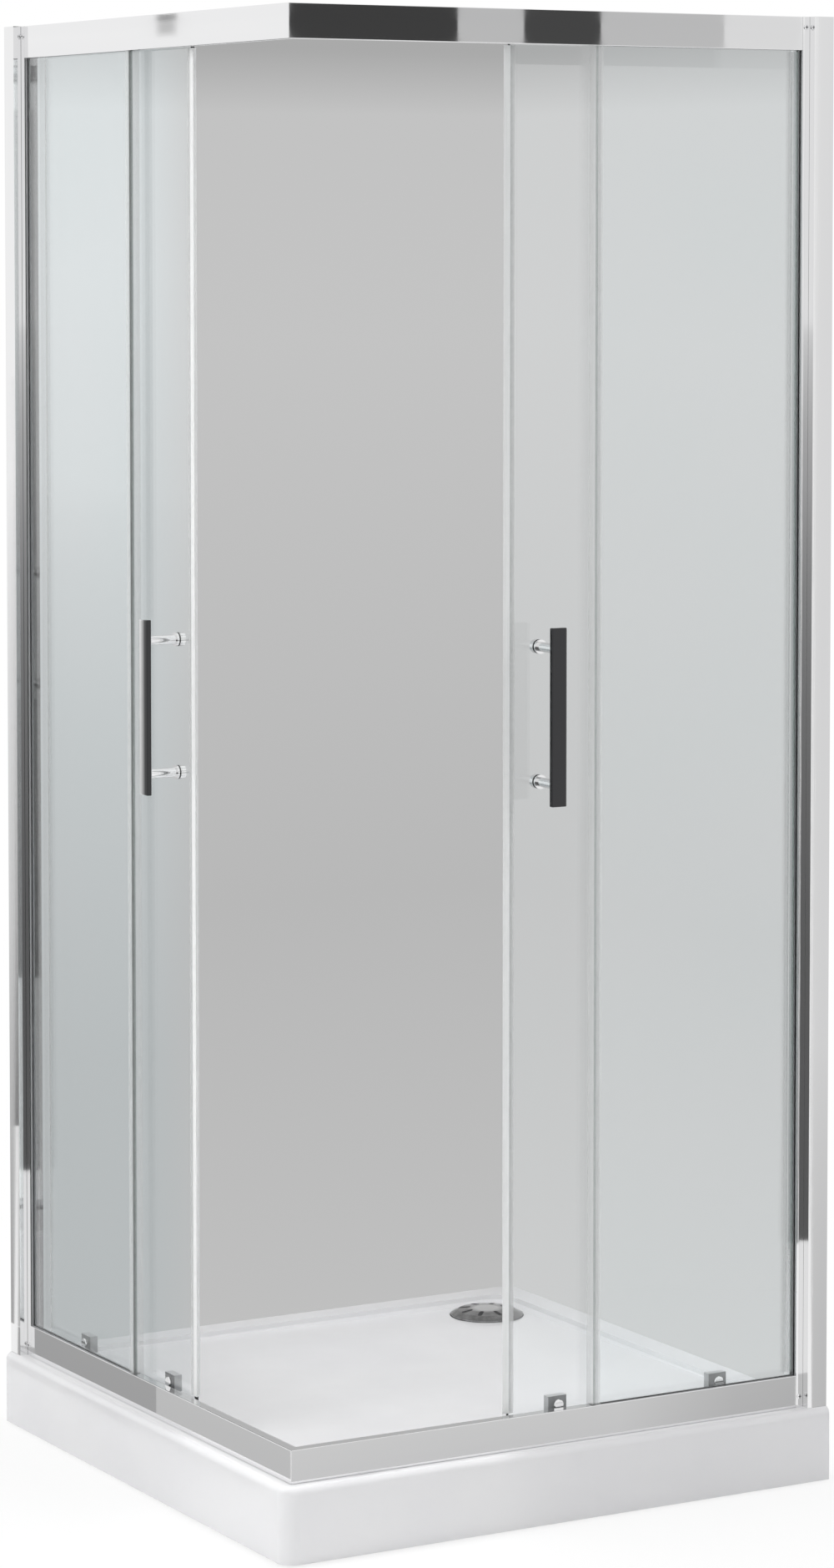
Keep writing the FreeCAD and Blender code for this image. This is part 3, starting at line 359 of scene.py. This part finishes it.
def finish_of(name, slot):
    """The material of a CAD node: profiles take the grain of their length, panes that of their side."""
    side = name.rsplit("_", 1)[-1]
    if slot == "clear_glass":
        return FINISHES[f"clear_glass_{side}"]
    if slot == "bright_aluminium" and "side_post" not in name:
        lying = "rail" in name or "sill" in name
        run = AXES[RUN[side]].lower() if lying else "z"
        return FINISHES[f"bright_aluminium_{run}"]
    for word, finish in OWN_FINISHES.items():
        if word in name:
            return FINISHES[finish.format(side=side)]
    return FINISHES[slot]


for name, node in frame["nodes"].items():
    for place in node.material_slots:
        place.material = finish_of(name, place.material.name)


# Edges of the profiles, rounded a little so that they catch the light

PROFILE_EDGE = 0.8 * MM
WELD_REACH = 0.01 * MM
FLAT_ANGLE, SHARP_ANGLE = math.radians(0.5), math.radians(40.0)


def soften(name):
    """Merges a CAD node's facets and rounds its sharp edges."""
    node = frame["nodes"][name]
    node.modifiers.new("join", "WELD").merge_threshold = WELD_REACH
    flat = node.modifiers.new("flatten", "DECIMATE")
    flat.decimate_type, flat.angle_limit = "DISSOLVE", FLAT_ANGLE
    edge = node.modifiers.new("round_edges", "BEVEL")
    edge.width, edge.segments = PROFILE_EDGE, 2
    edge.limit_method, edge.angle_limit = "ANGLE", SHARP_ANGLE
    edge.harden_normals = True


for side in SIDES:
    for kind in ("top_rail", "bottom_rail", "wall_channel"):
        soften(f"{kind}_{side}")


# Fittings too fine for the solids, carried by the bodies they sit on


def prism(shape, outline, low, high, place):
    """Adds the solid between two copies of an outline in the local x, y plane, at heights low and high."""
    ends = [[shape.verts.new(place @ Vector((x, y, z))) for x, y in outline] for z in (low, high)]
    count = len(outline)
    shape.faces.new(ends[0])
    shape.faces.new(ends[1])
    for i in range(count):
        j = (i + 1) % count
        shape.faces.new((ends[0][i], ends[0][j], ends[1][j], ends[1][i]))


def ring(shape, profile, place, steps=40):
    """Adds the ring that a closed profile of radii and heights sweeps round the local z axis."""
    turns = [2.0 * math.pi * i / steps for i in range(steps)]
    loops = [[shape.verts.new(place @ Vector((r * math.cos(a), r * math.sin(a), h))) for r, h in profile]
             for a in turns]
    count = len(profile)
    for i in range(steps):
        here, there = loops[i], loops[(i + 1) % steps]
        for j in range(count):
            k = (j + 1) % count
            shape.faces.new((here[j], here[k], there[k], there[j]))


def piece(name, body, slot, build):
    """A dressing object in its slot's finish: build adds to its mesh in metres, and it rides on a body."""
    shape = bmesh.new()
    build(shape)
    bmesh.ops.recalc_face_normals(shape, faces=shape.faces)
    mesh = bpy.data.meshes.new(name)
    shape.to_mesh(mesh)
    shape.free()
    made = bpy.data.objects.new(name, mesh)
    mesh.materials.append(FINISHES[slot])
    bpy.context.scene.collection.objects.link(made)
    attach(made, body)


SCREW_ACROSS, SCREW_FACE = 0.411, -0.431
SCREW_HEIGHTS = {"low": 0.126, "high": 2.110}
RECESS_REACH, RECESS_WIDTH = 2.4 * MM, 1.0 * MM
SKIN = 0.12 * MM


def screw_recess(side, level):
    """Cross recess in the head of a post screw, drawn as a dark cross of painted shade."""
    arm, half = RECESS_REACH, RECESS_WIDTH / 2.0
    outline = [Matrix.Rotation(k * QUARTER, 2) @ Vector(point)
               for k in range(4) for point in ((arm, -half), (arm, half), (half, half))]
    if side == "right":
        head = (SCREW_ACROSS, SCREW_FACE, SCREW_HEIGHTS[level])
        turn = Matrix.Rotation(QUARTER, 4, "X")
    else:
        head = (SCREW_FACE, SCREW_ACROSS, SCREW_HEIGHTS[level])
        turn = Matrix.Rotation(-QUARTER, 4, "Y")
    place = Matrix.Translation(head) @ turn
    piece(f"screw_recess_{level}_{side}", "frame", "rubber_black",
          lambda shape: prism(shape, outline, -SKIN, SKIN, place))


for side in SIDES:
    for level in SCREW_HEIGHTS:
        screw_recess(side, level)

# Slots of the drain cover as painted shade, as shares of its radius, and the crown they lie on, as the solid
# has it
COVER_SLOTS, SLOT_MIDDLE, SLOT_REACH, SLOT_WIDTH = 8, 0.62, 0.11, 0.06
CROWN_EDGE, CROWN_MIDDLE, CROWN_RISE = (0.8, 0.7), (0.45, 0.95), 11.0 * MM
BEND_STEPS = 6


def cover_slots():
    """Dark sheets of painted shade for the slots round the crown of the drain cover, lying on its slope."""
    middle, radius, top = cover_disc()
    fall = CROWN_RISE * (CROWN_MIDDLE[1] - CROWN_EDGE[1])
    run = radius * (CROWN_EDGE[0] - CROWN_MIDDLE[0])
    slope = math.atan2(fall, run)
    shoulder = top - CROWN_RISE * (1.0 - CROWN_MIDDLE[1])
    height = shoulder - fall * radius * (SLOT_MIDDLE - CROWN_MIDDLE[0]) / run
    centre = Matrix.Translation((middle.x, middle.y, height))
    reach, half = radius * SLOT_REACH, radius * SLOT_WIDTH
    bend = [math.pi * i / BEND_STEPS - QUARTER for i in range(BEND_STEPS + 1)]
    outline = [(end * (reach + half * math.cos(a)), end * half * math.sin(a))
               for end in (1.0, -1.0) for a in bend]
    out = Matrix.Translation((radius * SLOT_MIDDLE, 0.0, 0.0)) @ Matrix.Rotation(slope, 4, "Y")

    def build(shape):
        for i in range(COVER_SLOTS):
            turn = Matrix.Rotation(2.0 * math.pi * i / COVER_SLOTS, 4, "Z")
            prism(shape, outline, -SKIN, SKIN, centre @ turn @ out)
    piece("drain_cover_slots", "drain_cover", "rubber_black", build)


cover_slots()

# Painted shadow round the drain cover: its width, lift and steps
GAP_SHADOW_WIDTH, GAP_SHADOW_LIFT, GAP_SHADOW_STEPS = 2.6 * MM, 0.15 * MM, 72


def cover_gap_shadow():
    """Dark ring of painted shadow on the tray floor round the drain cover, where the gap under its rim lies.
    """
    middle, radius, _ = cover_disc()
    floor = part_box("waste_flange")[1].z
    centre = Matrix.Translation((middle.x, middle.y, floor))
    inner, outer = radius - GAP_SHADOW_WIDTH, radius + GAP_SHADOW_WIDTH / 2.0
    profile = ((inner, 0.0), (outer, 0.0), (outer, GAP_SHADOW_LIFT), (inner, GAP_SHADOW_LIFT))
    piece("drain_joint", "frame", "rubber_black", lambda shape: ring(shape, profile, centre, GAP_SHADOW_STEPS))


cover_gap_shadow()

WHEELS = range(1, 5)
BEARING_INNER, BEARING_OUTER, BEARING_PROUD = 5.2 * MM, 8.4 * MM, 0.25 * MM


def bearing(side, number):
    """Steel shields on both faces of a roller wheel."""
    low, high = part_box(f"roller_wheel_{number}_{side}")
    place = Matrix.Translation((low + high) / 2.0) @ Matrix.Rotation(QUARTER, 4, AXES[RUN[side]])
    half = min(high.x - low.x, high.y - low.y) / 2.0 + BEARING_PROUD
    profile = ((BEARING_INNER, -half), (BEARING_OUTER, -half), (BEARING_OUTER, half), (BEARING_INNER, half))
    piece(f"wheel_bearing_{number}_{side}", f"wheel_{number}_{side}", "steel",
          lambda shape: ring(shape, profile, place))


for side in SIDES:
    for number in WHEELS:
        bearing(side, number)


# Floor and walls


def sheet(name, corners, material, faces=None):
    """A stage piece through corners in metres: one face around them all, unless others are given."""
    mesh = bpy.data.meshes.new(name)
    mesh.from_pydata(corners, [], faces or [range(len(corners))])
    made = bpy.data.objects.new(name, mesh)
    made.data.materials.append(material)
    bpy.context.scene.collection.objects.link(made)
    return made


def seen_directly(tree):
    """1 for camera, glossy and transmission rays."""
    path = add(tree, "ShaderNodeLightPath").outputs
    total = path["Is Camera Ray"]
    for ray in ("Is Glossy Ray", "Is Transmission Ray"):
        total = add(tree, "ShaderNodeMath", {0: total, 1: path[ray]}, operation="MAXIMUM").outputs["Value"]
    return total


def stage_material(name):
    """An empty material and its tree."""
    material = bpy.data.materials.new(name)
    material.use_nodes = True
    material.node_tree.nodes.clear()
    return material, material.node_tree


def glow(tree, colour, strength=1.0):
    return add(tree, "ShaderNodeEmission", {"Color": colour, "Strength": strength}).outputs[0]


def mixed(tree, factor, first, second):
    return add(tree, "ShaderNodeMixShader", {0: factor, 1: first, 2: second}).outputs[0]


# Floor: its half side, its paint, and how white it shows at two distances from the middle
FLOOR_REACH, FLOOR_PAINT = 30.0, 0.9
FLOOR_FADE, FLOOR_WHITE = (0.6, 1.8), (0.82, 1.0)


def floor_material():
    """White floor that fades to plain white away from the tray and keeps a soft shadow beside it."""
    material, tree = stage_material("studio_floor")
    reach = add(tree, "ShaderNodeVectorMath", {0: object_place(tree)}, operation="LENGTH").outputs["Value"]
    share = {0: spread(tree, reach, *FLOOR_WHITE, *FLOOR_FADE), 1: seen_directly(tree)}
    share = add(tree, "ShaderNodeMath", share, operation="MULTIPLY").outputs["Value"]
    paint = add(tree, "ShaderNodeBsdfDiffuse", {"Color": grey(FLOOR_PAINT)}).outputs[0]
    add(tree, "ShaderNodeOutputMaterial", {"Surface": mixed(tree, share, paint, glow(tree, grey(1.0)))})
    return material


# Walls: their place, size and paint, the height that their stops of painted light and shade are shares of
# (at the top, the painted shadow of the top rail), and the left wall's open end, which is painted lighter
# and cooler and fades into the rest between two places along it
WALL_PLACE, WALL_NEAR, WALL_TOP, WALL_PAINT = 0.452, -0.43, 2.118, 0.8
STOPS_HEIGHT = 2.2
WALL_PAINTED_LIGHT_STOPS = ((0.0, 0.53), (0.35, 0.48), (0.75, 0.55), (0.91, 0.545), (0.955, 0.40))
END_PAINTED_LIGHT_STOPS = ((0.0, 0.505), (0.25, 0.495), (0.4, 0.53), (0.63, 0.56), (0.8, 0.64), (0.91, 0.635),
             (0.955, 0.46))
END_PAINTED_TINT = (0.955, 1.0, 1.015)
END_FULL, END_NONE = -0.18, -0.115


def shading(tree, height, stops, tint):
    """Painted light and shade on a wall from the floor up; stops are shares of the height with the level
    there.
    """
    made = add(tree, "ShaderNodeValToRGB", {"Fac": height})
    while len(made.color_ramp.elements) < len(stops):
        made.color_ramp.elements.new(0.5)
    for stop, (where, level) in zip(made.color_ramp.elements, stops):
        stop.position = where
        stop.color = [level * share for share in tint] + [1.0]
    return made.outputs["Color"]


def wall_material(name, lift, open_end):
    """Pale grey wall in painted light and shade, seen only from its front, so views from behind look past
    it.
    """
    material, tree = stage_material(name)
    parts = parts_of(tree, object_place(tree))
    height = spread(tree, parts["Z"], 0.0, 1.0, 0.0, STOPS_HEIGHT)
    # Painted light and shade up the wall, darkest just under the top rail; lift paints one wall lighter
    tone = shading(tree, height, WALL_PAINTED_LIGHT_STOPS, (lift, lift, lift))
    if open_end:
        # Painted light: the open end lighter and cooler
        near = spread(tree, parts["X"], 1.0, 0.0, END_FULL, END_NONE)
        tone = blend(tree, near, tone, shading(tree, height, END_PAINTED_LIGHT_STOPS, END_PAINTED_TINT))
    paint = add(tree, "ShaderNodeBsdfDiffuse", {"Color": grey(WALL_PAINT)}).outputs[0]
    front = mixed(tree, seen_directly(tree), paint, glow(tree, tone))
    back = add(tree, "ShaderNodeBsdfTransparent").outputs[0]
    behind = add(tree, "ShaderNodeNewGeometry").outputs["Backfacing"]
    add(tree, "ShaderNodeOutputMaterial", {"Surface": mixed(tree, behind, front, back)})
    return material


def wall(name, ends, lift, open_end):
    """Upright sheet between two ends on the ground."""
    (x0, y0), (x1, y1) = ends
    corners = [(x0, y0, 0.0), (x0, y0, WALL_TOP), (x1, y1, WALL_TOP), (x1, y1, 0.0)]
    sheet(name, corners, wall_material(name, lift, open_end))


sheet("studio_floor",
      [(x * FLOOR_REACH, y * FLOOR_REACH, 0.0) for x, y in ((-1, -1), (1, -1), (1, 1), (-1, 1))],
      floor_material())
# The right wall is painted lighter than the left by its lift
wall("studio_wall_right", ((WALL_PLACE, WALL_NEAR), (WALL_PLACE, WALL_PLACE)), lift=1.1, open_end=False)
wall("studio_wall_left", ((WALL_PLACE, WALL_PLACE), (WALL_NEAR, WALL_PLACE)), lift=1.0, open_end=True)


# Camera, fitted to the photograph's corners and edges

PHOTO_HEIGHT = 1879.0
FOCAL_PX, CENTRE_ROW = 5549.2, 620.0
SENSOR = 36.0
CAMERA_PLACE = Vector((-3.3828, -5.9200, 1.8182))
CAMERA_YAW, CAMERA_DIP = math.radians(-29.857), math.radians(3.530)

camera = bpy.data.cameras.new("camera")
camera.sensor_width = SENSOR
camera.lens = FOCAL_PX / PHOTO_HEIGHT * SENSOR
camera.shift_y = (CENTRE_ROW - PHOTO_HEIGHT / 2.0) / PHOTO_HEIGHT
viewer = bpy.data.objects.new("camera", camera)
viewer.location = CAMERA_PLACE
viewer.rotation_euler = (QUARTER - CAMERA_DIP, 0.0, CAMERA_YAW)
bpy.context.scene.collection.objects.link(viewer)
bpy.context.scene.camera = viewer
bpy.context.scene.view_settings.view_transform = "Standard"


# Boards around the set that only polished surfaces show, each named for the piece that mirrors it

# Outer face of the rails, and the planes that boards lie in: their axis and their place on it
FACE = -0.43
FRONT = (Y, -3.43)
SIDE = (X, -3.43)
FLOOR = (Z, 0.001)


def bounced(place, across, plane):
    """Where the sight line to a place on a face across x or y meets a plane after its reflection."""
    ray = place - CAMERA_PLACE
    ray[across] = -ray[across]
    axis, position = plane
    return place + ray * ((position - place[axis]) / ray[axis])


def board_material(name):
    """Glows at the board's own level once a mirror has turned the ray, and is not there for other rays."""
    material, tree = stage_material(name)
    level = add(tree, "ShaderNodeAttribute", attribute_name="level").outputs["Fac"]
    hidden = add(tree, "ShaderNodeBsdfTransparent").outputs[0]
    mirrored = add(tree, "ShaderNodeLightPath").outputs["Glossy Depth"]
    shown = mixed(tree, mirrored, hidden, glow(tree, grey(1.0), level))
    add(tree, "ShaderNodeOutputMaterial", {"Surface": shown})
    return material


BOARD = board_material("mirror_board")


def board(name, rows):
    """A strip of quads through rows of two corners, each row with the level it shows."""
    corners = [corner for pair, _ in rows for corner in pair]
    strips = [(i, i + 1, i + 3, i + 2) for i in range(0, len(corners) - 2, 2)]
    made = sheet(name, corners, BOARD, strips)
    levels = [level for _, level in rows for _ in range(2)]
    made.data.attributes.new("level", "FLOAT", "POINT").data.foreach_set("value", levels)
    made.visible_camera = made.visible_diffuse = made.visible_shadow = False


def source(side, place, height, plane, depth=FACE):
    """The point of a plane that a place on a side's face mirrors to the camera."""
    if side == "right":
        return bounced(Vector((place, depth, height)), Y, plane)
    return bounced(Vector((depth, place, height)), X, plane)


def mirror_board(name, side, along, stops, plane, depth=FACE):
    """Board whose image covers a stretch of a side's face; stops are heights there, each with its level."""
    board(name, [([source(side, place, height, plane, depth) for place in along], level)
                 for height, level in stops])


def mirror_run(name, side, heights, stops, plane):
    """Board whose image covers a band of a side's face; stops are places along it, each with its level."""
    board(name, [([source(side, place, height, plane) for height in heights], level)
                 for place, level in stops])


def even(level, low, high):
    return ((low, level), (high, level))


# Stretches along both sides that a board covers, bands of height, and the height on the right side below
# which the floor is mirrored
RAIL_END = 0.404
POST_STRIP_RIGHT, POST_STRIP_LEFT = (0.396, 0.4086), (0.4045, 0.4172)
CHANNEL = (0.4172, 0.46)
RAIL_BAND, SILL_BAND = (2.05, 2.2), (0.1, 0.159)
FOOT_TOP = 0.645

# Right top rail from the corner on: a board, the place where it ends and its level
rail_start = FACE
for name, rail_stop, level in (("dark_rail", -0.167, 0.056), ("grey_rail_near", -0.061, 0.57),
                               ("dark_rail_far", 0.064, 0.069), ("grey_rail_far", 0.27, 0.58),
                               ("pale_rail", RAIL_END, 0.82)):
    mirror_board(name, "right", (rail_start, rail_stop), even(level, *RAIL_BAND), FRONT)
    rail_start = rail_stop

# Right side's post, channel and sill
mirror_board("post_right", "right", POST_STRIP_RIGHT,
             ((FOOT_TOP, 0.17), (1.05, 0.21), (1.2, 0.26), (1.42, 0.42), (1.71, 0.76), (2.1, 0.85)), FRONT)
mirror_board("post_right_foot", "right", POST_STRIP_RIGHT, ((0.352, 0.14), (FOOT_TOP, 0.17)), FLOOR)
mirror_board("channel_right", "right", CHANNEL, ((FOOT_TOP, 0.75), (2.2, 0.85)), FRONT)
mirror_board("channel_right_foot", "right", CHANNEL, ((0.1, 0.58), (FOOT_TOP, 0.75)), FLOOR)
mirror_run("sill_right", "right", SILL_BAND,
           ((FACE, 0.68), (0.1, 0.665), (0.185, 0.61), (0.298, 0.54), (RAIL_END, 0.52)), FLOOR)

# Dark reflection on the left top rail, from boards that only mirrors show: softer at its ends, darker at its
# top
REFLECTION_TOP_SHARE = 0.6
for name, along, level in (("rail_mark_far", (-0.046, -0.036), 0.76), ("rail_mark", (-0.088, -0.046), 0.6),
                           ("rail_mark_near", (-0.1, -0.088), 0.76)):
    mirror_board(name, "left", along, ((2.092, 0.9), (2.101, level), (2.113, level),
                                       (2.117, REFLECTION_TOP_SHARE * level), (2.124, REFLECTION_TOP_SHARE * level)), SIDE)

# Left side's post, channel, sill and glass
POST_NOSE, POST_MIDDLE = (-0.443, -0.412), 0.411
SILL_STEP, GLASS_START = -0.02, -0.2
mirror_board("post_left", "left", POST_STRIP_LEFT,
             ((0.465, 0.07), (0.774, 0.076), (1.013, 0.125), (1.24, 0.215), (1.45, 0.28), (1.6, 0.34)),
             FLOOR)
mirror_board("post_left_nose", "right", POST_NOSE,
             ((0.69, 0.15), (0.94, 0.2), (1.24, 0.3), (1.54, 0.46), (2.0, 0.58)), FRONT, POST_MIDDLE)
mirror_board("channel_left", "left", CHANNEL, ((0.16, 0.42), (0.775, 0.7), (1.3, 0.87), (1.45, 1.0)), FLOOR)
mirror_board("sill_left", "left", (FACE, SILL_STEP), even(0.59, *SILL_BAND), FLOOR)
mirror_board("sill_left_far", "left", (SILL_STEP, RAIL_END), even(0.41, *SILL_BAND), FLOOR)
mirror_board("glass_left", "left", (GLASS_START, RAIL_END),
             ((0.16, 0.5), (0.7, 0.55), (1.2, 0.75), (1.45, 1.0)), FLOOR)

# Half width of the near floor's board at its start, and its growth along the way
NEAR_WIDTH, NEAR_SPREAD = 0.9, 0.7


def near_floor(stops):
    """Floor on the camera's side, which the posts' inner corners send back; stops are shares of the way."""
    way = Vector((CAMERA_PLACE.x, CAMERA_PLACE.y, 0.0))
    across = Vector((way.y, -way.x, 0.0)).normalized()
    lift = Vector((0.0, 0.0, FLOOR[1]))
    board("near_floor", [([way * share + across * (end * (NEAR_WIDTH + NEAR_SPREAD * share)) + lift
                           for end in (-1.0, 1.0)], level) for share, level in stops])


near_floor(((0.26, 0.13), (0.74, 0.14), (1.22, 0.18), (2.15, 0.27), (3.9, 0.45), (7.3, 0.65),
            (12.0, 0.85)))


# Light

WORLD_LIGHT, WORLD_SEEN = 0.5, 1.0


def world():
    """White surroundings for the eye and for reflections, at half strength as a light."""
    made = bpy.data.worlds.new("studio_world")
    bpy.context.scene.world = made
    made.use_nodes = True
    tree = made.node_tree
    strength = spread(tree, seen_directly(tree), WORLD_LIGHT, WORLD_SEEN, 0.0, 1.0)
    tree.links.new(strength, tree.nodes["Background"].inputs["Strength"])
    tree.nodes["Background"].inputs["Color"].default_value = grey(1.0)


def lamp(name, place, aim, size, power):
    """A square soft box at place, turned to aim; the mirrors show the white studio in its place."""
    data = bpy.data.lights.new(name, "AREA")
    data.shape, data.size, data.energy = "SQUARE", size, power
    made = bpy.data.objects.new(name, data)
    made.location = place
    made.rotation_euler = (Vector(aim) - Vector(place)).to_track_quat("-Z", "Y").to_euler()
    made.visible_glossy = made.visible_transmission = False
    bpy.context.scene.collection.objects.link(made)


LOW_AIM, TOP_AIM = (0.0, 0.0, 0.6), (0.0, 0.0, 0.0)

world()
lamp("key_lamp", (-4.6, 0.3, 4.2), LOW_AIM, size=3.0, power=108.0)
lamp("fill_lamp", (3.3, -4.4, 3.2), LOW_AIM, size=3.0, power=39.0)
lamp("top_lamp", (0.0, 0.0, 5.2), TOP_AIM, size=1.6, power=168.0)
